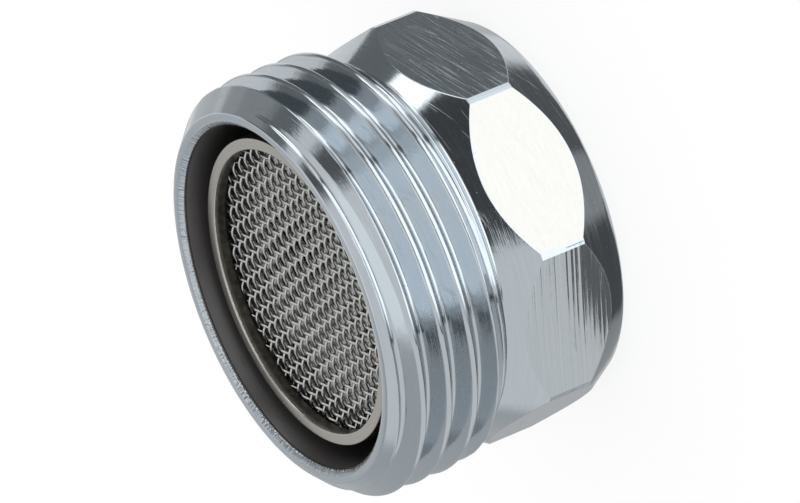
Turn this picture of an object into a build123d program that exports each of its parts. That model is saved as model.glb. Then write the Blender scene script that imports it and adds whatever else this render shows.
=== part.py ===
from build123d import *
import math
import os

os.makedirs("parts", exist_ok=True)

# Threaded nipple, millimetres. It stands on its octagonal inlet end, +Z runs to the hose end.
# The origin is the bottom centre of the inlet face.

# Lengths along the axis
total_length = 16.9
ridge_bottom = 3.22
ridge_length = 2.68
relief_length = 0.16
ledge_bottom = 7.9
ledge_height = 1.0

# Hose thread, right-handed, 55 degree profile
thread_radius = 13.2205
thread_pitch = 1.814
thread_depth = 1.162
thread_flat = 0.302
crest_drop = 0.98
face_chamfer = 1.51

# Octagon, its cones and the relief below the thread
flat_count = 8
flat_step = 0.3315
corner_bevel = 0.146
rear_rim = 0.541
front_cone_angle = 32.0
relief_depth = 0.21
relief_fillet = 0.3
run_out_gap = 0.09

# Walls and gaps from the hose thread inward
outlet_wall = 1.1585
air_gap = 1.15
mouth_chamfer = 0.3
flange_reach = 0.56
flange_clearance = 0.149
inlet_chamfer = 0.6
inlet_thread_end = 4.9
washer_groove_depth = 0.591

# Insert sleeve
sleeve_wall = 0.5
sleeve_length = 8.33
sleeve_clearance = 0.15
rim_height = 0.8
rim_overlap = 0.25
rim_round = 0.33
flange_thickness = 0.5
window_count = 6
window_width = 3.4
window_height = 1.2
stack_clearance = 0.05

# Discs and rings inside the sleeve
strainer_ring_height = 0.6
strainer_ring_wall = 1.2
strainer_thickness = 0.4
jet_rim_height = 0.6
jet_rim_wall = 1.0
jet_plate_thickness = 0.8
jet_count = 16
jet_radius = 0.45
jet_circle_inset = 3.6
mixing_ring_wall = 0.9
mesh_thickness = 0.44
mesh_rim = 0.35
mesh_wire = 0.3
mesh_layer_share = 0.65
mesh_angle = 45.0
outlet_bar_count = 11
hidden_bar_count = 7
spacer_height = 1.1
spacer_wall = 0.7

# Washer
washer_thickness = 2.0
washer_width = 3.45
washer_clearance = 0.1

# Radii that follow
neck_radius = thread_radius - thread_depth
relief_radius = neck_radius - relief_depth
flat_radius = neck_radius + flat_step
corner_radius = flat_radius / math.cos(math.pi / flat_count)
outlet_bore_radius = neck_radius - outlet_wall
sleeve_radius = outlet_bore_radius - air_gap
sleeve_inner_radius = sleeve_radius - sleeve_wall
ledge_radius = sleeve_radius + sleeve_clearance
flange_radius = sleeve_radius + flange_reach
inlet_bore_radius = flange_radius + flange_clearance
washer_groove_radius = inlet_bore_radius + washer_groove_depth
rear_face_radius = inlet_bore_radius + inlet_chamfer + rear_rim
stack_radius = sleeve_inner_radius - stack_clearance
jet_circle_radius = stack_radius - jet_circle_inset
washer_radius = washer_groove_radius - washer_clearance

# Heights that follow
ridge_top = ridge_bottom + ridge_length
front_run = 1 / math.tan(math.radians(front_cone_angle))
relief_bottom = ridge_top + (corner_radius - relief_radius) * front_run
relief_top = relief_bottom + relief_length
ledge_top = ledge_bottom + ledge_height
flange_bottom = ledge_bottom - flange_thickness
rim_top = flange_bottom + sleeve_length
stack_top = rim_top - rim_height
strainer_bottom = flange_bottom + strainer_ring_height
jet_bottom = strainer_bottom + strainer_thickness
mixing_bottom = jet_bottom + jet_rim_height + jet_plate_thickness
outlet_mesh_bottom = stack_top - mesh_thickness
spacer_bottom = outlet_mesh_bottom - spacer_height
inner_mesh_bottom = spacer_bottom - mesh_thickness

# Room that a cutting shape reaches past what it cuts
reach = 1.0


def turned(points):
    """Solid of revolution about Z from (radius, height) points."""
    outline = make_face(Polyline(*points, close=True))
    return revolve(Plane.XZ * outline, Axis.Z, 360)


def ring(inner, outer, bottom, height):
    """Plain ring between two radii."""
    whole = Cylinder(outer, height, align=(Align.CENTER, Align.CENTER, Align.MIN))
    hole = Cylinder(inner, height, align=(Align.CENTER, Align.CENTER, Align.MIN))
    return Pos(0, 0, bottom) * (whole - hole)


def octagon_stock():
    """Octagonal bar with bevelled corners, as long as the part and a little more."""
    section = RegularPolygon(flat_radius, flat_count, major_radius=False, rotation=180 / flat_count)
    section = chamfer(section.vertices(), corner_bevel)
    return extrude(section, total_length + reach)


def turned_outside():
    """Rear cone, front cone, filleted relief and thread core as one turned shape."""
    rear_run = ridge_bottom / (corner_radius - rear_face_radius)
    crossing_radius = corner_radius + ridge_length / (rear_run + front_run)
    crossing_height = ridge_bottom + (crossing_radius - corner_radius) * rear_run
    outline = make_face(Polyline(
        (0, 0),
        (rear_face_radius, 0),
        (crossing_radius, crossing_height),
        (relief_radius, relief_bottom),
        (relief_radius, relief_top),
        (neck_radius, relief_top + relief_depth),
        (neck_radius, total_length + reach),
        (0, total_length + reach),
        close=True,
    ))
    corner = outline.vertices().sort_by_distance((relief_radius, relief_bottom, 0))[0]
    outline = fillet(corner, relief_fillet)
    return revolve(Plane.XZ * outline, Axis.Z, 360)


def thread_ridge():
    """The helical ridge of the hose thread, rooted a little inside the core."""
    sink = 0.1
    flank = (thread_pitch - 2 * thread_flat) / 2 / thread_depth
    turns = math.ceil((total_length - relief_top) / thread_pitch) + 2
    height = turns * thread_pitch
    middle = total_length - crest_drop + thread_pitch - height
    root_half = thread_flat / 2 + flank * (thread_depth + sink)
    crest_half = thread_flat / 2
    root_radius = neck_radius - sink
    corners = [
        (root_radius, middle - root_half),
        (root_radius, middle + root_half),
        (thread_radius, middle + crest_half),
        (thread_radius, middle - crest_half),
    ]
    lines = [Helix(thread_pitch, height, radius, center=(0, 0, start)) for radius, start in corners]
    faces = []
    for index in range(len(corners)):
        faces.append(Face.make_surface_from_curves(lines[index], lines[index - 1]))
    for lift in (0, height):
        points = [(radius, 0, start + lift) for radius, start in corners]
        faces.append(Face(Wire.make_polygon(points, close=True)))
    return Solid(Shell(faces))


def run_out():
    """Space the ridge may fill: a 45 degree run-out that starts above the relief."""
    inner = relief_radius - run_out_gap
    outer = thread_radius + reach
    top = total_length + 3 * thread_pitch
    return turned([
        (inner, relief_top),
        (outer, relief_top + outer - inner),
        (outer, top),
        (inner, top),
    ])


def face_envelope():
    """Flat hose face with its 45 degree outer chamfer."""
    outer = thread_radius + reach
    face_radius = thread_radius - face_chamfer
    return turned([
        (0, -reach),
        (outer, -reach),
        (outer, total_length - face_chamfer - reach),
        (face_radius, total_length),
        (0, total_length),
    ])


def bores():
    """Everything that is bored out of the body, from the inlet to the mouth."""
    return turned([
        (0, -reach),
        (inlet_bore_radius + inlet_chamfer + reach, -reach),
        (inlet_bore_radius, inlet_chamfer),
        (inlet_bore_radius, inlet_thread_end),
        (washer_groove_radius, inlet_thread_end),
        (washer_groove_radius, ledge_bottom),
        (ledge_radius, ledge_bottom),
        (ledge_radius, ledge_top),
        (outlet_bore_radius, ledge_top),
        (outlet_bore_radius, total_length - mouth_chamfer),
        (outlet_bore_radius + mouth_chamfer + reach, total_length + reach),
        (0, total_length + reach),
    ])


def make_adapter_body():
    body = octagon_stock() & turned_outside()
    body = body + (thread_ridge() & run_out())
    body = body & face_envelope()
    return body - bores()


def make_insert_sleeve():
    """Thin sleeve with a flange below, a rounded rim above and air windows above the ledge."""
    rim_inner_radius = sleeve_inner_radius - rim_overlap
    sleeve = turned([
        (sleeve_inner_radius, flange_bottom),
        (flange_radius, flange_bottom),
        (flange_radius, ledge_bottom),
        (sleeve_radius, ledge_bottom),
        (sleeve_radius, rim_top),
        (rim_inner_radius, rim_top),
        (rim_inner_radius, stack_top),
        (sleeve_inner_radius, stack_top),
    ])
    rim_edges = sleeve.edges().filter_by(GeomType.CIRCLE).group_by(Axis.Z)[-1]
    sleeve = fillet(rim_edges, rim_round)
    return sleeve - windows()


def windows():
    """Blocks that open the air windows, set round the axis."""
    depth = sleeve_wall + mixing_ring_wall + 2 * reach
    block = Box(depth, window_width, window_height, align=(Align.MAX, Align.CENTER, Align.MIN))
    block = Pos(sleeve_radius + reach, 0, mixing_bottom) * block
    return [Rot(0, 0, index * 360 / window_count) * block for index in range(window_count)]


def lattice(bottom, thickness, bar_count):
    """Disc of crossed wires: one family below, one above, fused where they cross, in a rim."""
    pitch = 2 * stack_radius / (bar_count + 1)
    layer = thickness * mesh_layer_share
    lower = Box(2 * stack_radius, mesh_wire, layer, align=(Align.CENTER, Align.CENTER, Align.MIN))
    upper = Box(mesh_wire, 2 * stack_radius, layer, align=(Align.CENTER, Align.CENTER, Align.MIN))
    bars = []
    for index in range(bar_count):
        offset = (index - (bar_count - 1) / 2) * pitch
        bars.append(Pos(0, offset, bottom) * lower)
        bars.append(Pos(offset, 0, bottom + thickness - layer) * upper)
    net = bars[0].fuse(*bars[1:])
    inside = Cylinder(stack_radius - mesh_rim / 2, thickness, align=(Align.CENTER, Align.CENTER, Align.MIN))
    net = net & (Pos(0, 0, bottom) * inside)
    net = Rot(0, 0, mesh_angle) * net
    return net + ring(stack_radius - mesh_rim, stack_radius, bottom, thickness)


def make_outlet_mesh():
    return lattice(outlet_mesh_bottom, mesh_thickness, outlet_bar_count)


def make_mesh_spacer_ring():
    return ring(stack_radius - spacer_wall, stack_radius, spacer_bottom, spacer_height)


def make_inner_mesh():
    return lattice(inner_mesh_bottom, mesh_thickness, hidden_bar_count)


def make_mixing_ring():
    """Ring between the jet disc and the inner mesh, notched where the air comes in."""
    height = inner_mesh_bottom - mixing_bottom
    whole = ring(stack_radius - mixing_ring_wall, stack_radius, mixing_bottom, height)
    return whole - windows()


def make_jet_disc():
    """Plate with a ring of jets, and a rim below that keeps it off the strainer."""
    middle = jet_bottom + jet_rim_height + jet_plate_thickness / 2
    disc = Pos(0, 0, middle) * Cylinder(stack_radius, jet_plate_thickness)
    disc = disc + ring(stack_radius - jet_rim_wall, stack_radius, jet_bottom, middle - jet_bottom)
    jet = Cylinder(jet_radius, jet_plate_thickness + 2 * reach)
    for index in range(jet_count):
        disc = disc - Rot(0, 0, index * 360 / jet_count) * Pos(jet_circle_radius, 0, middle) * jet
    return disc


def make_inlet_strainer():
    return lattice(strainer_bottom, strainer_thickness, hidden_bar_count)


def make_strainer_ring():
    return ring(stack_radius - strainer_ring_wall, stack_radius, flange_bottom, strainer_ring_height)


def make_seal_washer():
    inner = washer_radius - washer_width
    return ring(inner, washer_radius, flange_bottom - washer_thickness, washer_thickness)


pieces = {
    "adapter_body": make_adapter_body,
    "insert_sleeve": make_insert_sleeve,
    "outlet_mesh": make_outlet_mesh,
    "mesh_spacer_ring": make_mesh_spacer_ring,
    "inner_mesh": make_inner_mesh,
    "mixing_ring": make_mixing_ring,
    "jet_disc": make_jet_disc,
    "inlet_strainer": make_inlet_strainer,
    "strainer_ring": make_strainer_ring,
    "seal_washer": make_seal_washer,
}

for name, make in pieces.items():
    export_step(make(), f"parts/{name}.step")
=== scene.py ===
import math

import bpy
from mathutils import Matrix, Quaternion, Vector


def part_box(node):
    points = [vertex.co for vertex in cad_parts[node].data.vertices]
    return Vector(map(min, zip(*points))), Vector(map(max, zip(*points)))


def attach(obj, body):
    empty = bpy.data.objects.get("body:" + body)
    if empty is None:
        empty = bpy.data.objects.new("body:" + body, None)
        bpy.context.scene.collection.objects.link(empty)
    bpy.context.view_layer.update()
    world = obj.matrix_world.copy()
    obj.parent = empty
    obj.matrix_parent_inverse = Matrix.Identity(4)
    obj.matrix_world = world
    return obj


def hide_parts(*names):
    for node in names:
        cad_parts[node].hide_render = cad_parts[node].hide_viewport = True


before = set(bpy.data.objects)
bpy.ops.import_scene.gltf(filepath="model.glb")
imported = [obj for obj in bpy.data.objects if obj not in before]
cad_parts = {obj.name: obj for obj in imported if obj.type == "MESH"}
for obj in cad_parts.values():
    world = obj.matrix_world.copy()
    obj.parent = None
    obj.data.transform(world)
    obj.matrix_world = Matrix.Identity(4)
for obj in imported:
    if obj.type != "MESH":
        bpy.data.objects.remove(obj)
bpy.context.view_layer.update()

# Lengths are millimetres, one millimetre in the row frame is MM
MM = 0.001


def frame_mm(node):
    """Lowest and highest corner of a CAD node, in millimetres."""
    low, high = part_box(node)
    return low / MM, high / MM


def middle_height(node):
    """Height halfway up a CAD node, in millimetres."""
    low, high = frame_mm(node)
    return (low.z + high.z) / 2


# Sizes read from the frame
LENGTH = frame_mm("adapter_body")[1].z
SLEEVE_LOW, SLEEVE_HIGH = frame_mm("insert_sleeve")
WASHER_LOW, WASHER_HIGH = frame_mm("seal_washer")
DISC_RADIUS = frame_mm("outlet_mesh")[1].x

# Outside of the body
THREAD_RADIUS = 13.2205
THREAD_PITCH = 1.814
THREAD_ROUND = 0.249
THREAD_HALF_ANGLE = math.radians(27.5)
CREST_DROP = 0.98
NECK_RADIUS = 12.0585
FACE_CHAMFER = 1.51
FACE_RADIUS = THREAD_RADIUS - FACE_CHAMFER
FLAT_RADIUS = 12.39
FLATS = 8
SECTOR = 2 * math.pi / FLATS
CORNER_RADIUS = FLAT_RADIUS / math.cos(math.pi / FLATS)
BEVEL_RADIUS = 13.32
BEVEL_EDGE = math.radians(0.94)
RIDGE_BOTTOM = 3.22
RIDGE_TOP = 5.9
REAR_FACE_RADIUS = 11.6
CONE_ANGLE = math.radians(32)
RELIEF_RADIUS = 11.8485
RELIEF_FILLET = 0.3
RELIEF_TOP = 8.56
RUN_OUT_START = 8.86
SPLIT = 8.5

# Inside of the body
LEDGE_BOTTOM = SLEEVE_LOW.z + 0.5
LEDGE_TOP = LEDGE_BOTTOM + 1.0
LEDGE_RADIUS = 9.9
OUTLET_RADIUS = 10.9
MOUTH_CHAMFER = 0.3
MOUTH_RADIUS = OUTLET_RADIUS + MOUTH_CHAMFER
GROOVE_RADIUS = 11.05
TAP_MINOR_RADIUS = 10.459
TAP_MAJOR_RADIUS = 11.0
TAP_PITCH = 1.0
TAP_OFFSET = 0.3
TAP_HALF_ANGLE = math.radians(30)
TAP_THREAD_END = 4.9
TAP_MOUTH_RADIUS = 11.06

# Rim of the sleeve
SLEEVE_RADIUS = 9.75
RIM_INNER_RADIUS = 9.0
RIM_ROUND = 0.33
RIM_CRISP = 0.09

# Washer
WASHER_WIDTH = 3.45
WASHER_ROUND = 0.2

# Woven discs
WEAVE_PITCH = 0.72
WEAVE_WIRE = 0.18
INNER_WIRE = 0.27
WEAVE_ANGLE = math.radians(45)
INNER_TURN = math.radians(4)
STRAINER_PITCH = 0.6
STRAINER_WIRE = 0.18

# How finely the turned shapes are divided
HOSE_COLUMNS = 384
HOSE_ROWS = 226
FLAT_COLUMNS = 34
CONE_ROWS = 6
FLAT_ROWS = 5
FILLET_ROWS = 5
TAP_ROWS = 96
WASHER_COLUMNS = 128

# Camera, at the photo's viewing angle
CAMERA_TARGET = Vector((0.27, 3.22, 6.79)) * MM
CAMERA_DISTANCE = 591.2 * MM
CAMERA_AZIMUTH = -96.78
CAMERA_ELEVATION = 25.42
CAMERA_ROLL = -112.28
CAMERA_LENS = 442.4

# Half the side of the floor, in metres
FLOOR_HALF = 3.0

# Marks on the chrome. Slopes are degrees against the way round it. The edges of the flat next to
# the one that faces -Y are millimetres round the octagon from that one's middle, on either side.
SKEW_SLOPE = 7
ROUND_SLOPE = 1
FLAT_EDGES = (4.9, 14.6)
HAIRLINE_SLOPES = (20, 4)


# Helpers for shape

def new_object(name, vertices, faces, slot, *replaced):
    """Object from millimetre vertices, shaded smooth, riding on the root."""
    mesh = bpy.data.meshes.new(name)
    mesh.from_pydata([(x * MM, y * MM, z * MM) for x, y, z in vertices], [], faces)
    mesh.update()
    mesh.polygons.foreach_set("use_smooth", [True] * len(mesh.polygons))
    obj = bpy.data.objects.new(name, mesh)
    bpy.context.scene.collection.objects.link(obj)
    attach(obj, "root")
    if replaced:
        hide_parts(*replaced)
    return obj


def closed_shell(profiles, angles):
    """Quads between (radius, height) loops, one loop to each angle, closed both ways round."""
    rows = len(profiles[0])
    columns = len(angles)
    vertices = []
    for angle, profile in zip(angles, profiles):
        c, s = math.cos(angle), math.sin(angle)
        vertices.extend((r * c, r * s, z) for r, z in profile)
    faces = []
    for j in range(columns):
        near, far = j * rows, (j + 1) % columns * rows
        for i in range(rows):
            k = (i + 1) % rows
            faces.append((near + i, far + i, far + k, near + k))
    return vertices, faces


def spread(start, end, count):
    """Count values from start up to, not including, end."""
    return [start + (end - start) * i / count for i in range(count)]


def line(start, end, count):
    """Points on a straight run of a profile, without its last one."""
    step = ((end[0] - start[0]) / count, (end[1] - start[1]) / count)
    return [(start[0] + step[0] * i, start[1] + step[1] * i) for i in range(count)]


def lead_phase(angle, height, pitch, offset):
    """Distance along the axis from the nearest crest of a right-handed helix."""
    shift = height - offset - pitch * angle / (2 * math.pi)
    return shift - pitch * round(shift / pitch)


# The body, as two closed shells that meet inside the ledge

def hose_thread_radius(angle, height):
    """Rounded 55 degree thread, its run-out and the 45 degree chamfer of the face."""
    u = abs(lead_phase(angle, height, THREAD_PITCH, LENGTH - CREST_DROP))
    reach = THREAD_ROUND * math.cos(THREAD_HALF_ANGLE)
    sag = THREAD_ROUND * (1 - math.sin(THREAD_HALF_ANGLE))
    far = THREAD_PITCH / 2 - u
    if u < reach:
        radius = THREAD_RADIUS - THREAD_ROUND + math.sqrt(THREAD_ROUND ** 2 - u ** 2)
    elif far < reach:
        radius = NECK_RADIUS + THREAD_ROUND - math.sqrt(THREAD_ROUND ** 2 - far ** 2)
    else:
        share = (u - reach) / (THREAD_PITCH / 2 - 2 * reach)
        radius = THREAD_RADIUS - sag - share * (THREAD_RADIUS - NECK_RADIUS - 2 * sag)
    core = min(NECK_RADIUS, RELIEF_RADIUS + max(0.0, height - RELIEF_TOP))
    ridge = min(radius - NECK_RADIUS, height - RUN_OUT_START)
    chamfer = FACE_RADIUS + LENGTH - height
    return min(core + max(0.0, ridge), chamfer)


def hose_end_profile(angle):
    """Section of the hose end at one angle."""
    soft = 0.03
    top = LENGTH - soft
    mouth_bottom = (OUTLET_RADIUS, LENGTH - MOUTH_CHAMFER)
    points = [(hose_thread_radius(angle, z), z) for z in spread(SPLIT, top, HOSE_ROWS)]
    points += line((FACE_RADIUS + soft, top), (FACE_RADIUS - soft, LENGTH), 2)
    points += line((FACE_RADIUS - soft, LENGTH), (MOUTH_RADIUS + soft, LENGTH), 2)
    points += line((MOUTH_RADIUS + soft, LENGTH), (MOUTH_RADIUS - soft, top), 2)
    points += line((MOUTH_RADIUS - soft, top), mouth_bottom, 2)
    points += line(mouth_bottom, (OUTLET_RADIUS, LEDGE_TOP), 4)
    points += [(OUTLET_RADIUS, LEDGE_TOP), (LEDGE_RADIUS, LEDGE_TOP), (LEDGE_RADIUS, SPLIT)]
    return points


def hose_end():
    angles = spread(0, 2 * math.pi, HOSE_COLUMNS)
    vertices, faces = closed_shell([hose_end_profile(angle) for angle in angles], angles)
    return new_object("body_hose_end", vertices, faces, "body_chrome", "adapter_body")


def octagon_angles():
    """Angles of the columns: even over each flat, close together at both edges of each bevel."""
    soft = math.radians(0.06)
    inner = BEVEL_EDGE - soft
    outer = BEVEL_EDGE + soft
    angles = []
    for k in range(FLATS):
        start = (k - 0.5) * SECTOR
        end = start + SECTOR
        angles += [start + turn for turn in (-BEVEL_EDGE, -inner, 0, inner, BEVEL_EDGE)]
        angles += spread(start + outer, end - outer, FLAT_COLUMNS)
        angles.append(end - outer)
    return angles


def octagon_radius(angle):
    """Distance from the axis to the octagon's side, its corners bevelled."""
    off_flat = angle - SECTOR * round(angle / SECTOR)
    off_corner = SECTOR / 2 - abs(off_flat)
    return min(FLAT_RADIUS / math.cos(off_flat), BEVEL_RADIUS / math.cos(off_corner))


def tap_thread_radius(angle, height):
    """Internal 60 degree thread with a chamfered mouth."""
    half_crest = TAP_PITCH / 16
    u = abs(lead_phase(angle, height, TAP_PITCH, TAP_OFFSET))
    radius = TAP_MAJOR_RADIUS - max(0.0, u - half_crest) / math.tan(TAP_HALF_ANGLE)
    radius = max(radius, TAP_MINOR_RADIUS)
    return max(radius, TAP_MOUTH_RADIUS - height)


def octagon_end_profile(angle):
    """Section of the octagonal end at one angle."""
    side = octagon_radius(angle)
    soft = 0.05
    rear_run = RIDGE_BOTTOM / (CORNER_RADIUS - REAR_FACE_RADIUS)
    front_run = 1 / math.tan(CONE_ANGLE)
    rear = (side - REAR_FACE_RADIUS) * rear_run
    front = RIDGE_TOP + (CORNER_RADIUS - side) * front_run
    relief_bottom = RIDGE_TOP + (CORNER_RADIUS - RELIEF_RADIUS) * front_run
    tangent = RELIEF_FILLET * math.tan(CONE_ANGLE / 2)
    fillet_start = (
        RELIEF_RADIUS + tangent * math.sin(CONE_ANGLE),
        relief_bottom - tangent * math.cos(CONE_ANGLE),
    )
    rear_start = (REAR_FACE_RADIUS + soft / rear_run, soft)
    rear_end = (side - soft / rear_run, rear - soft)
    front_start = (side - soft / front_run, front + soft)
    points = [(TAP_MOUTH_RADIUS, 0), (REAR_FACE_RADIUS - soft, 0)]
    points += line(rear_start, rear_end, CONE_ROWS)
    points += [rear_end, (side, rear), (side, rear + soft)]
    points += line((side, rear + 2 * soft), (side, front - 2 * soft), FLAT_ROWS)
    points += [(side, front - 2 * soft), (side, front - soft), (side, front)]
    points += line(front_start, fillet_start, CONE_ROWS)
    for turn in spread(CONE_ANGLE, 0, FILLET_ROWS):
        r = RELIEF_RADIUS + RELIEF_FILLET * (1 - math.cos(turn))
        z = relief_bottom + tangent - RELIEF_FILLET * math.sin(turn)
        points.append((r, z))
    points += [(RELIEF_RADIUS, SPLIT), (LEDGE_RADIUS, SPLIT), (LEDGE_RADIUS, LEDGE_BOTTOM)]
    points += [(GROOVE_RADIUS, LEDGE_BOTTOM), (GROOVE_RADIUS, TAP_THREAD_END)]
    for z in spread(TAP_THREAD_END, 0, TAP_ROWS):
        points.append((tap_thread_radius(angle, z), z))
    return points


def octagon_end():
    angles = octagon_angles()
    vertices, faces = closed_shell([octagon_end_profile(angle) for angle in angles], angles)
    return new_object("body_octagon_end", vertices, faces, "body_chrome", "adapter_body")


# The sleeve

def crisp_sleeve():
    """The CAD sleeve with its windows, its rim's round edges drawn out to crisp ones."""
    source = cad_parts["insert_sleeve"]
    obj = bpy.data.objects.new("sleeve_shell", source.data.copy())
    obj.matrix_world = source.matrix_world
    outer = SLEEVE_RADIUS - RIM_ROUND
    inner = RIM_INNER_RADIUS + RIM_ROUND
    low = SLEEVE_HIGH.z - RIM_ROUND
    crisp = RIM_CRISP / RIM_ROUND
    for vertex in obj.data.vertices:
        x, y, z = (c / MM for c in vertex.co)
        if z < low - 0.001:
            continue
        radius = math.hypot(x, y)
        if radius > (outer + inner) / 2:
            new_radius = SLEEVE_RADIUS - RIM_CRISP + (radius - outer) * crisp
        else:
            new_radius = RIM_INNER_RADIUS + RIM_CRISP - (inner - radius) * crisp
        new_z = SLEEVE_HIGH.z - RIM_CRISP + (z - low) * crisp
        vertex.co = (x * new_radius / radius * MM, y * new_radius / radius * MM, new_z * MM)
    bpy.context.scene.collection.objects.link(obj)
    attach(obj, "root")
    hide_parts("insert_sleeve")
    return obj


# Woven discs

def wire_path(offset, sign, radius, pitch, lift, steps):
    """Points (along, height) of one wavy wire across the disc."""
    half = math.sqrt(radius ** 2 - offset ** 2)
    count = max(4, int(2 * half / pitch * steps))
    path = []
    for i in range(count + 1):
        along = -half + 2 * half * i / count
        path.append((along, sign * lift * math.cos(math.pi * along / pitch)))
    return path


def tube(points, across, radius, sides):
    """Round wire through points, each ring upright to the wire; across is its level side vector."""
    vertices, faces = [], []
    for i, point in enumerate(points):
        ahead = points[min(i + 1, len(points) - 1)] - points[max(i - 1, 0)]
        upward = across.cross(ahead.normalized())
        for k in range(sides):
            turn = 2 * math.pi * k / sides
            vertices.append(point + radius * (math.cos(turn) * across + math.sin(turn) * upward))
    for i in range(len(points) - 1):
        for k in range(sides):
            m = (k + 1) % sides
            faces.append((i * sides + k, i * sides + m, (i + 1) * sides + m, (i + 1) * sides + k))
    faces.append(tuple(range(sides))[::-1])
    faces.append(tuple((len(points) - 1) * sides + k for k in range(sides)))
    return vertices, faces


def woven_disc(name, node, pitch, wire, angle, phase, sides, steps):
    """Plain weave of two families of wires, in one object."""
    middle = middle_height(node)
    radius = DISC_RADIUS
    vertices, faces = [], []
    count = int(radius / pitch) + 1
    for family in (0, 1):
        turn = angle + family * math.pi / 2
        along_axis = Vector((math.cos(turn), math.sin(turn), 0))
        side_axis = Vector((-math.sin(turn), math.cos(turn), 0))
        for index in range(-count, count + 1):
            offset = (index + phase) * pitch
            if abs(offset) > radius - wire:
                continue
            sign = (1 if family == 0 else -1) * (-1) ** index
            path = wire_path(offset, sign, radius, pitch, wire / 2, steps)
            points = [along_axis * a + side_axis * offset + Vector((0, 0, middle + h)) for a, h in path]
            more, quads = tube(points, side_axis, wire / 2, sides)
            base = len(vertices)
            vertices.extend(more)
            faces.extend(tuple(base + v for v in quad) for quad in quads)
    return new_object(name, vertices, faces, "mesh_steel", node)


def washer_ring():
    """Flat washer with rounded edges."""
    outer = WASHER_HIGH.x
    inner = outer - WASHER_WIDTH
    low, high = WASHER_LOW.z, WASHER_HIGH.z
    outline = []
    for r, z, first in ((outer, high, 0), (inner, high, 90), (inner, low, 180), (outer, low, 270)):
        middle_r = r - WASHER_ROUND if r == outer else r + WASHER_ROUND
        middle_z = z - WASHER_ROUND if z == high else z + WASHER_ROUND
        for step in range(5):
            turn = math.radians(first + step * 22.5)
            out, up = WASHER_ROUND * math.cos(turn), WASHER_ROUND * math.sin(turn)
            outline.append((middle_r + out, middle_z + up))
    angles = spread(0, 2 * math.pi, WASHER_COLUMNS)
    vertices, faces = closed_shell([outline] * WASHER_COLUMNS, angles)
    return new_object("washer_ring", vertices, faces, "washer_rubber", "seal_washer")


# Helpers for materials

class Nodes:
    """Short way to add nodes to one tree."""

    def __init__(self, tree):
        self.tree = tree

    def add(self, kind, inputs=(), **settings):
        node = self.tree.nodes.new(kind)
        for key, value in settings.items():
            setattr(node, key, value)
        for key, value in dict(inputs).items():
            if isinstance(value, bpy.types.NodeSocket):
                self.tree.links.new(value, node.inputs[key])
            else:
                node.inputs[key].default_value = value
        return node

    def math(self, operation, *values):
        return self.add("ShaderNodeMath", dict(enumerate(values)), operation=operation).outputs[0]

    def plus(self, first, *others):
        for other in others:
            first = self.math("ADD", first, other)
        return first

    def minus(self, first, second):
        return self.math("SUBTRACT", first, second)

    def times(self, first, *others):
        for other in others:
            first = self.math("MULTIPLY", first, other)
        return first

    def ramp(self, value, low, high, start=0.0, end=1.0):
        inputs = {0: value, 1: low, 2: high, 3: start, 4: end}
        return self.add("ShaderNodeMapRange", inputs).outputs[0]

    def between(self, value, low, high):
        """1 where a value lies between two others, 0 elsewhere, over a short edge."""
        edge = 0.05
        return self.times(self.ramp(value, low - edge, low), self.ramp(value, high + edge, high))

    def combine(self, x, y, z):
        return self.add("ShaderNodeCombineXYZ", {0: x, 1: y, 2: z}).outputs[0]

    def noise(self, vector, scale, detail):
        inputs = {"Vector": vector, "Scale": scale, "Detail": detail}
        return self.add("ShaderNodeTexNoise", inputs).outputs[0]

    def blend(self, share, first, second):
        """Colour between two colours, each a socket or a triple."""
        first, second = ((*c, 1) if isinstance(c, tuple) else c for c in (first, second))
        return self.add("ShaderNodeMix", {0: share, 6: first, 7: second}, data_type="RGBA").outputs[2]


def new_material(name):
    material = bpy.data.materials.new(name)
    material.use_nodes = True
    shader = material.node_tree.nodes["Principled BSDF"]
    return material, Nodes(material.node_tree), shader


def connect(nodes, shader, **sockets):
    """Link sockets to the shader's inputs; an underscore in a name stands for a space."""
    for name, socket in sockets.items():
        nodes.tree.links.new(socket, shader.inputs[name.replace("_", " ")])


def place(nodes):
    """In millimetres the place, height and radius, then the x and y of the way out from the axis."""
    coordinates = nodes.add("ShaderNodeTexCoord").outputs["Object"]
    scaled = nodes.add("ShaderNodeVectorMath", {0: coordinates, 3: 1 / MM}, operation="SCALE").outputs[0]
    x, y, z = nodes.add("ShaderNodeSeparateXYZ", {0: scaled}).outputs
    radius = nodes.math("SQRT", nodes.plus(nodes.times(x, x), nodes.times(y, y)))
    radius = nodes.math("MAXIMUM", radius, 0.01)
    return scaled, z, radius, nodes.math("DIVIDE", x, radius), nodes.math("DIVIDE", y, radius)


def turning_noise(nodes, where, along, across):
    """Noise drawn out round the axis, as a lathe or a cloth leaves it."""
    z, radius, ux, uy = where[1:]
    vector = nodes.combine(nodes.times(ux, along), nodes.times(uy, along), nodes.times(z, across))
    w = nodes.times(radius, across)
    inputs = {"Vector": vector, "W": w, "Scale": 1.0, "Detail": 2.0, "Roughness": 0.6}
    return nodes.add("ShaderNodeTexNoise", inputs, noise_dimensions="4D").outputs[0]


def height_bump(nodes, height):
    """Normal from a height in millimetres."""
    inputs = {"Height": nodes.times(height, MM), "Strength": 1.0, "Distance": 1.0}
    return nodes.add("ShaderNodeBump", inputs).outputs[0]


def unrolled(nodes, where, upright):
    """Way round the axis and way along it, in millimetres; the seam is at the back."""
    z, radius, ux, uy = where[1:]
    turn = nodes.math("ARCTAN2", ux, nodes.times(uy, -1.0))
    slant = nodes.times(radius, nodes.ramp(upright, 0.0, 1.0, 1.0, 0.0))
    return nodes.times(turn, FLAT_RADIUS), nodes.minus(z, slant)


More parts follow.
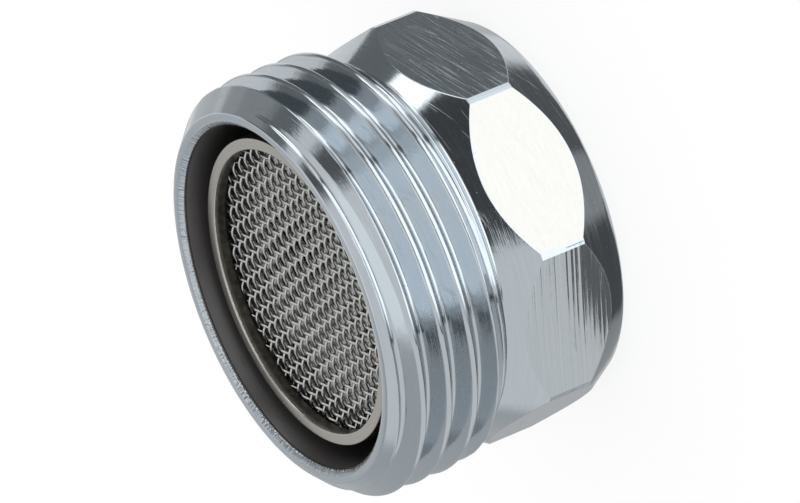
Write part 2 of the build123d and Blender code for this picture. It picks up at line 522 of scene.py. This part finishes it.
def sloped_noise(nodes, unroll, slope, along, across, detail=1.0):
    """Noise drawn out along a slope on the unrolled surface, its sizes in millimetres."""
    arc, rise = unroll
    c, s = math.cos(math.radians(slope)), math.sin(math.radians(slope))
    ahead = nodes.plus(nodes.times(arc, c / along), nodes.times(rise, s / along))
    aside = nodes.minus(nodes.times(rise, c / across), nodes.times(arc, s / across))
    return nodes.noise(nodes.combine(ahead, aside, slope), 1.0, detail)


def hairlines(nodes, unroll, slope):
    """Sparse straight scratches along a slope, 1 on a scratch and 0 elsewhere."""
    off = nodes.math("ABSOLUTE", nodes.minus(sloped_noise(nodes, unroll, slope, 25.0, 0.6), 0.5))
    keep = sloped_noise(nodes, unroll, slope, 4.0, 0.9, 2.0)
    return nodes.times(nodes.ramp(off, 0.0, 0.014, 1.0, 0.0), nodes.ramp(keep, 0.58, 0.64))


# Materials

def mouth_chatter(nodes, where):
    """Height of the chatter marks that run outward on the chamfer of the mouth."""
    z, radius, ux, uy = where[1:]
    mouth = nodes.times(nodes.ramp(radius, 11.25, 11.2), nodes.ramp(z, LENGTH - 0.4, LENGTH - 0.35))
    spokes = nodes.combine(nodes.times(ux, 70.0), nodes.times(uy, 70.0), 0.0)
    return nodes.times(nodes.noise(spokes, 1.0, 2.0), mouth, 0.15)


def deep_marks(nodes, z, unroll, upright):
    """Height of the deeper turning marks of one flat, which is rolled over towards its rear edge."""
    flat = nodes.between(unroll[0], -FLAT_EDGES[1], -FLAT_EDGES[0])
    fading = nodes.ramp(unroll[0], -13.0, -6.0, 0.12, 1.0)
    turned = sloped_noise(nodes, unroll, 0, 45.0, 0.22)
    roll = nodes.math("POWER", nodes.ramp(z, 4.9, 1.4), 2.0)
    deep = nodes.minus(nodes.times(turned, 0.05), nodes.times(roll, 0.75))
    return nodes.times(deep, nodes.times(upright, flat, fading))


def chrome_material():
    """Chrome plate over turned and brushed brass; the bore behind the mouth is painted near black as
    shade, and one flat carries a painted reflection.
    """
    material, nodes, shader = new_material("chrome plate")
    where = place(nodes)
    scaled, z, radius = where[:3]
    streak = turning_noise(nodes, where, 5.0, 11.0)
    graze = turning_noise(nodes, where, 24.0, 14.0)
    plate = nodes.noise(scaled, 0.7, 2.0)

    # Where the marks lie: the upright flats, of which one is brushed askew and one stays plain
    normal = nodes.add("ShaderNodeNewGeometry").outputs["Normal"]
    lean = nodes.math("ABSOLUTE", nodes.add("ShaderNodeSeparateXYZ", {0: normal}).outputs[2])
    upright = nodes.ramp(lean, 0.1, 0.05)
    unroll = unrolled(nodes, where, upright)
    arc = unroll[0]
    skewed = nodes.times(upright, nodes.between(arc, *FLAT_EDGES))
    plain = nodes.times(upright, nodes.between(arc, -FLAT_EDGES[0], FLAT_EDGES[0]))
    # Brushing shows on the octagon and its cones, less on the thread
    octagon = nodes.ramp(z, RUN_OUT_START, RIDGE_TOP, 0.15, 1.0)
    # The bore behind the mouth is painted near black as shade, and made rougher and less metallic
    bore = nodes.times(
        nodes.ramp(radius, OUTLET_RADIUS + 0.04, OUTLET_RADIUS + 0.02),
        nodes.ramp(z, SPLIT, SPLIT + 0.1),
    )

    round_brush = sloped_noise(nodes, unroll, ROUND_SLOPE, 9.0, 0.13, 2.0)
    skew_brush = sloped_noise(nodes, unroll, SKEW_SLOPE, 3.5, 0.1, 2.0)
    brushed = nodes.ramp(skewed, 0.0, 1.0, round_brush, skew_brush)
    # Hairlines and specks from handling
    lines = 0.0
    for slope in HAIRLINE_SLOPES:
        lines = nodes.math("MAXIMUM", lines, hairlines(nodes, unroll, slope))
    dots = nodes.add("ShaderNodeTexVoronoi", {"Vector": scaled, "Scale": 1.7}).outputs["Distance"]
    wear = nodes.math("MAXIMUM", lines, nodes.ramp(dots, 0.05, 0.08, 1.0, 0.0))

    height = nodes.plus(
        nodes.times(streak, 0.0028),
        nodes.times(brushed, 0.0022),
        nodes.times(graze, 0.0012),
        nodes.times(plate, 0.012),
        deep_marks(nodes, z, unroll, upright),
        mouth_chatter(nodes, where),
    )
    height = nodes.minus(height, nodes.times(lines, 0.0012))

    worn = nodes.times(skewed, nodes.ramp(arc, 13.5, 9.0, 0.2, 1.0))
    marks = nodes.times(octagon, nodes.ramp(worn, 0.0, 1.0, 0.07, 0.24))
    rough = nodes.plus(
        nodes.ramp(graze, 0.3, 0.7, 0.07, 0.13),
        nodes.times(wear, 0.22),
        nodes.times(marks, nodes.ramp(brushed, 0.5, 0.68)),
        nodes.times(bore, 0.25),
    )

    depth = nodes.ramp(plain, 0.0, 1.0, nodes.ramp(skewed, 0.0, 1.0, 0.5, 0.8), 0.06)
    grain = nodes.times(nodes.times(octagon, depth), nodes.ramp(brushed, 0.35, 0.65, -0.5, 0.5))
    grain = nodes.plus(nodes.ramp(streak, 0.3, 0.7, 0.35, 0.65), grain)
    # Painted reflection: the askew flat is coloured lighter towards its side at larger arc, as a
    # reflection gradient added to the grain
    grain = nodes.plus(grain, nodes.times(skewed, nodes.ramp(arc, 6.0, 13.0, -0.5, 0.5)))
    tone_and_painted_light = nodes.blend(grain, (0.392, 0.43, 0.46), (0.468, 0.51, 0.545))
    # Painted shade: the bore is coloured near black for the shade in the recess behind the mouth
    tone_and_painted_light = nodes.blend(bore, tone_and_painted_light, (0.066, 0.062, 0.061))
    metallic = nodes.ramp(bore, 0, 1, 1.0, 0.35)
    connect(nodes, shader, Base_Color=tone_and_painted_light, Roughness=rough, Metallic=metallic)
    connect(nodes, shader, Normal=height_bump(nodes, height))
    return material


def steel_material(name, dark, light, roughness, metallic=1.0):
    """Stainless steel with drawing marks round the axis."""
    material, nodes, shader = new_material(name)
    fine = turning_noise(nodes, place(nodes), 12.0, 8.0)
    rough = nodes.ramp(fine, 0.3, 0.7, roughness, roughness + 0.1)
    connect(nodes, shader, Base_Color=nodes.blend(fine, dark, light), Roughness=rough)
    connect(nodes, shader, Normal=height_bump(nodes, nodes.times(fine, 0.0004)))
    shader.inputs["Metallic"].default_value = metallic
    return material


def sleeve_material():
    """Drawn steel of the sleeve: a clean rolled rim, painted dark below it inside and out as shade, with
    blotchy stains.
    """
    material, nodes, shader = new_material("sleeve steel")
    where = place(nodes)
    fine = turning_noise(nodes, where, 12.0, 8.0)
    rim = nodes.ramp(where[1], SLEEVE_HIGH.z - 0.35, SLEEVE_HIGH.z - 0.12)
    clean = nodes.blend(fine, (0.38, 0.365, 0.33), (0.46, 0.445, 0.41))
    blotch = nodes.ramp(nodes.noise(where[0], 2.2, 3.0), 0.35, 0.65)
    # Painted shade: below the rim the steel is coloured dark for the shade in the mouth, mottled with
    # blotchy stains
    painted_shade_and_stains = nodes.blend(blotch, (0.075, 0.069, 0.058), (0.14, 0.13, 0.113))
    rough = nodes.ramp(rim, 0, 1, 0.4, 0.22)
    connect(nodes, shader, Base_Color=nodes.blend(rim, painted_shade_and_stains, clean), Roughness=rough)
    connect(nodes, shader, Normal=height_bump(nodes, nodes.times(fine, 0.001)))
    shader.inputs["Metallic"].default_value = 1.0
    return material


def soft_material(name, dark, light, roughness, grain):
    """Moulded plastic or rubber with a fine grain."""
    material, nodes, shader = new_material(name)
    noise = nodes.noise(place(nodes)[0], 6.0, 3.0)
    connect(nodes, shader, Base_Color=nodes.blend(noise, dark, light))
    connect(nodes, shader, Normal=height_bump(nodes, nodes.times(noise, grain)))
    shader.inputs["Roughness"].default_value = roughness
    return material


def dress(obj, material):
    obj.data.materials.clear()
    obj.data.materials.append(material)


# Studio: a white dome, a white floor and cards that only reflections see

def white_world():
    world = bpy.data.worlds.new("white dome")
    world.use_nodes = True
    background = world.node_tree.nodes["Background"]
    background.inputs["Color"].default_value = (1, 1, 1, 1)
    background.inputs["Strength"].default_value = 1.0
    # The cards stand in the dome's way only for rays that meet them
    world.cycles.sampling_method = "NONE"
    bpy.context.scene.world = world


def plane(name, across, up):
    """Level rectangle about the origin, linked to the scene."""
    mesh = bpy.data.meshes.new(name)
    corners = [(-across, -up, 0), (across, -up, 0), (across, up, 0), (-across, up, 0)]
    mesh.from_pydata(corners, [], [(0, 1, 2, 3)])
    obj = bpy.data.objects.new(name, mesh)
    bpy.context.scene.collection.objects.link(obj)
    return obj


def floor_material():
    """White floor that keeps the object's shadow and meets the dome's white in the picture."""
    material, nodes, shader = new_material("white floor")
    rays = nodes.add("ShaderNodeLightPath").outputs["Is Camera Ray"]
    noise = nodes.add("ShaderNodeTexNoise", {"Scale": 40.0}).outputs[0]
    shader.inputs["Base Color"].default_value = (0.2, 0.2, 0.2, 1)
    shader.inputs["Specular IOR Level"].default_value = 0.0
    shader.inputs["Emission Color"].default_value = (1, 1, 1, 1)
    connect(nodes, shader, Roughness=nodes.ramp(noise, 0, 1, 0.55, 0.65))
    connect(nodes, shader, Emission_Strength=nodes.times(rays, 0.81))
    return material


def floor():
    obj = plane("floor", FLOOR_HALF, FLOOR_HALF)
    obj.data.materials.append(floor_material())
    obj.visible_glossy = False


def toward(azimuth, elevation):
    """Unit vector at an azimuth and elevation in degrees."""
    a, e = math.radians(azimuth), math.radians(elevation)
    return Vector((math.cos(e) * math.cos(a), math.cos(e) * math.sin(a), math.sin(e)))


def card_material(name, across, up, strength, soft, tint):
    """Glow that fades to clear over the soft share of each half width."""
    material = bpy.data.materials.new(name)
    material.use_nodes = True
    nodes = Nodes(material.node_tree)
    nodes.tree.nodes.clear()
    coordinates = nodes.add("ShaderNodeTexCoord").outputs["Object"]
    parts = nodes.add("ShaderNodeSeparateXYZ", {0: coordinates}).outputs
    fades = []
    for part, half in ((parts[0], across), (parts[1], up)):
        inputs = {0: nodes.math("ABSOLUTE", part), 1: half, 2: half * (1 - soft), 3: 0.0, 4: 1.0}
        fade = nodes.add("ShaderNodeMapRange", inputs, interpolation_type="SMOOTHSTEP")
        fades.append(fade.outputs[0])
    glow = nodes.add("ShaderNodeEmission", {"Color": (*tint, 1), "Strength": strength}).outputs[0]
    clear = nodes.add("ShaderNodeBsdfTransparent").outputs[0]
    mix = nodes.add("ShaderNodeMixShader", {0: nodes.times(*fades), 1: clear, 2: glow}).outputs[0]
    nodes.add("ShaderNodeOutputMaterial", {"Surface": mix})
    return material


def card(name, azimuth, elevation, roll, width, height, strength, soft, tint, distance):
    """Card that only reflections see. Its width and height are degrees."""
    across = distance * math.tan(math.radians(width / 2))
    up = distance * math.tan(math.radians(height / 2))
    obj = plane(name, across, up)
    direction = toward(azimuth, elevation)
    turn = direction.to_track_quat("Z", "Y") @ Quaternion((0, 0, 1), math.radians(roll))
    obj.matrix_world = Matrix.Translation(direction * distance) @ turn.to_matrix().to_4x4()
    obj.data.materials.append(card_material(name, across, up, strength, soft, tint))
    obj.visible_camera = False
    obj.visible_diffuse = False
    obj.visible_shadow = False


WARM = (1.0, 0.915, 0.83)
CREAM = (1, 0.98, 0.95)
WHITE = (1, 1, 1)
COOL = (0.97, 0.99, 1.0)
BLUISH = (0.93, 0.985, 1.0)
# Name, azimuth, elevation, roll, width, height, strength, soft share, tint and distance of each
# card. Angles are degrees, and of two cards in one direction the nearer one is seen.
CARDS = [
    ("front panel", -90, -24, 0, 84, 92, 2.15, 0.1, COOL, 1.0),
    ("front warm panel", -83, -26, 0, 26, 26, 2.3, 0.3, WARM, 0.99),
    ("upper panel", -86, 53, 0, 60, 20, 1.45, 0.5, COOL, 1.0),
    ("left wall", -172, -42, 0, 50, 44, 0.95, 0.6, CREAM, 1.01),
    ("left low shade", -173, -47, 0, 44, 26, 0.2, 0.35, WHITE, 0.975),
    ("rear corner shade", 142, -26, 0, 13, 14, 0.62, 0.4, WHITE, 0.97),
    ("far nadir grey", 110, -42, 0, 30, 26, 0.38, 0.5, COOL, 0.972),
    ("back low grey", 68, -35, 0, 30, 26, 0.62, 0.6, COOL, 0.973),
    ("tall strip", -20, -11, 0, 18, 68, 2.2, 0.35, COOL, 0.98),
    ("bevel light", -38, -27, 0, 12, 36, 1.6, 0.3, COOL, 0.97),
    ("gap shade", -46, 3, 0, 6, 44, 0.12, 0.4, COOL, 0.96),
    ("camera shade", -76, 37, 0, 78, 17, 0.08, 0.25, COOL, 0.95),
    ("shade end", -37, 30, 0, 28, 17, 0.08, 0.25, COOL, 0.945),
    ("corner shade", -26, 52, 0, 26, 15, 0.14, 0.5, COOL, 0.94),
    ("side shade", 20, 2, 0, 38, 96, 0.23, 0.14, BLUISH, 0.93),
    ("side half shade", 40, 16, 0, 22, 26, 0.5, 0.6, COOL, 0.925),
    ("chamfer grey", 30, 24, -39, 36, 14, 0.42, 0.5, COOL, 0.915),
    ("chamfer light grey", 61, -3, -42, 42, 16, 0.68, 0.6, COOL, 0.928),
    ("upper side shade", 41, 42, 0, 24, 22, 0.22, 0.5, COOL, 0.92),
    ("hot spot", -9, 22, 0, 25, 19, 2.7, 0.3, WHITE, 0.9),
    ("far grey", 115, 18, 0, 60, 124, 0.63, 0.4, COOL, 0.99),
    ("face grey", 82, 22, 0, 34, 34, 0.73, 0.5, COOL, 0.98),
    ("far low grey", 94, -22, 0, 44, 26, 0.5, 0.4, COOL, 0.97),
    ("nadir shade", -100, -83, 0, 30, 26, 0.42, 0.5, WHITE, 0.965),
    ("left nadir shade", 142, -64, 32, 28, 50, 0.11, 0.35, WHITE, 0.96),
    ("right nadir shade", 6, -74, -17, 26, 46, 0.15, 0.35, COOL, 0.95),
    ("top panel", 90, 88, 0, 44, 44, 1.36, 0.45, COOL, 0.98),
    ("standing bar", -142, -6, -8, 5, 62, 0.12, 0.4, WHITE, 0.92),
]


def camera():
    data = bpy.data.cameras.new("camera")
    data.sensor_fit = "HORIZONTAL"
    data.sensor_width = 36.0
    data.lens = CAMERA_LENS
    data.clip_start = 0.01
    obj = bpy.data.objects.new("camera", data)
    direction = toward(CAMERA_AZIMUTH, CAMERA_ELEVATION)
    obj.rotation_mode = "QUATERNION"
    level = direction.to_track_quat("Z", "Y")
    obj.rotation_quaternion = level @ Quaternion((0, 0, 1), math.radians(CAMERA_ROLL))
    obj.location = CAMERA_TARGET + direction * CAMERA_DISTANCE
    bpy.context.scene.collection.objects.link(obj)
    bpy.context.scene.camera = obj


# The object
chrome = chrome_material()
sleeve_steel = sleeve_material()
wire_steel = steel_material("wire steel", (0.38, 0.385, 0.375), (0.5, 0.505, 0.495), 0.16)
# Painted light: the inner and strainer wires are coloured paler and less metallic than the outlet's
# wire, standing in for light that does not reach deep into the insert
inner_wire_painted_light = steel_material("inner wire steel painted light", (0.62, 0.62, 0.59), (0.75, 0.75, 0.71), 0.45, 0.5)
plastic = soft_material("insert plastic", (0.03, 0.03, 0.032), (0.06, 0.06, 0.065), 0.5, 0.003)
rubber = soft_material("washer rubber", (0.012, 0.012, 0.012), (0.03, 0.03, 0.03), 0.7, 0.006)

for piece in (hose_end(), octagon_end()):
    dress(piece, chrome)

# Woven discs: pitch, wire, turn, phase, then sides of a wire and steps to a pitch
outlet = ("outlet_weave", "outlet_mesh", WEAVE_PITCH, WEAVE_WIRE, WEAVE_ANGLE, 0.13, 8, 7)
inner = ("inner_weave", "inner_mesh", WEAVE_PITCH, INNER_WIRE, WEAVE_ANGLE + INNER_TURN, 0.62, 6, 5)
strainer = ("strainer_weave", "inlet_strainer", STRAINER_PITCH, STRAINER_WIRE, WEAVE_ANGLE, 0.0, 6, 5)
for values, material in ((outlet, wire_steel), (inner, inner_wire_painted_light), (strainer, inner_wire_painted_light)):
    dress(woven_disc(*values), material)

dress(washer_ring(), rubber)
dress(crisp_sleeve(), sleeve_steel)
# The strainer ring takes the sleeve's material and lies below its rim, so it is painted dark as shade
# too
dress(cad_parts["strainer_ring"], sleeve_steel)
for node in ("mesh_spacer_ring", "mixing_ring", "jet_disc"):
    dress(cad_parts[node], plastic)

# The picture
white_world()
floor()
for values in CARDS:
    card(*values)
camera()
bpy.context.scene.view_settings.view_transform = "Standard"
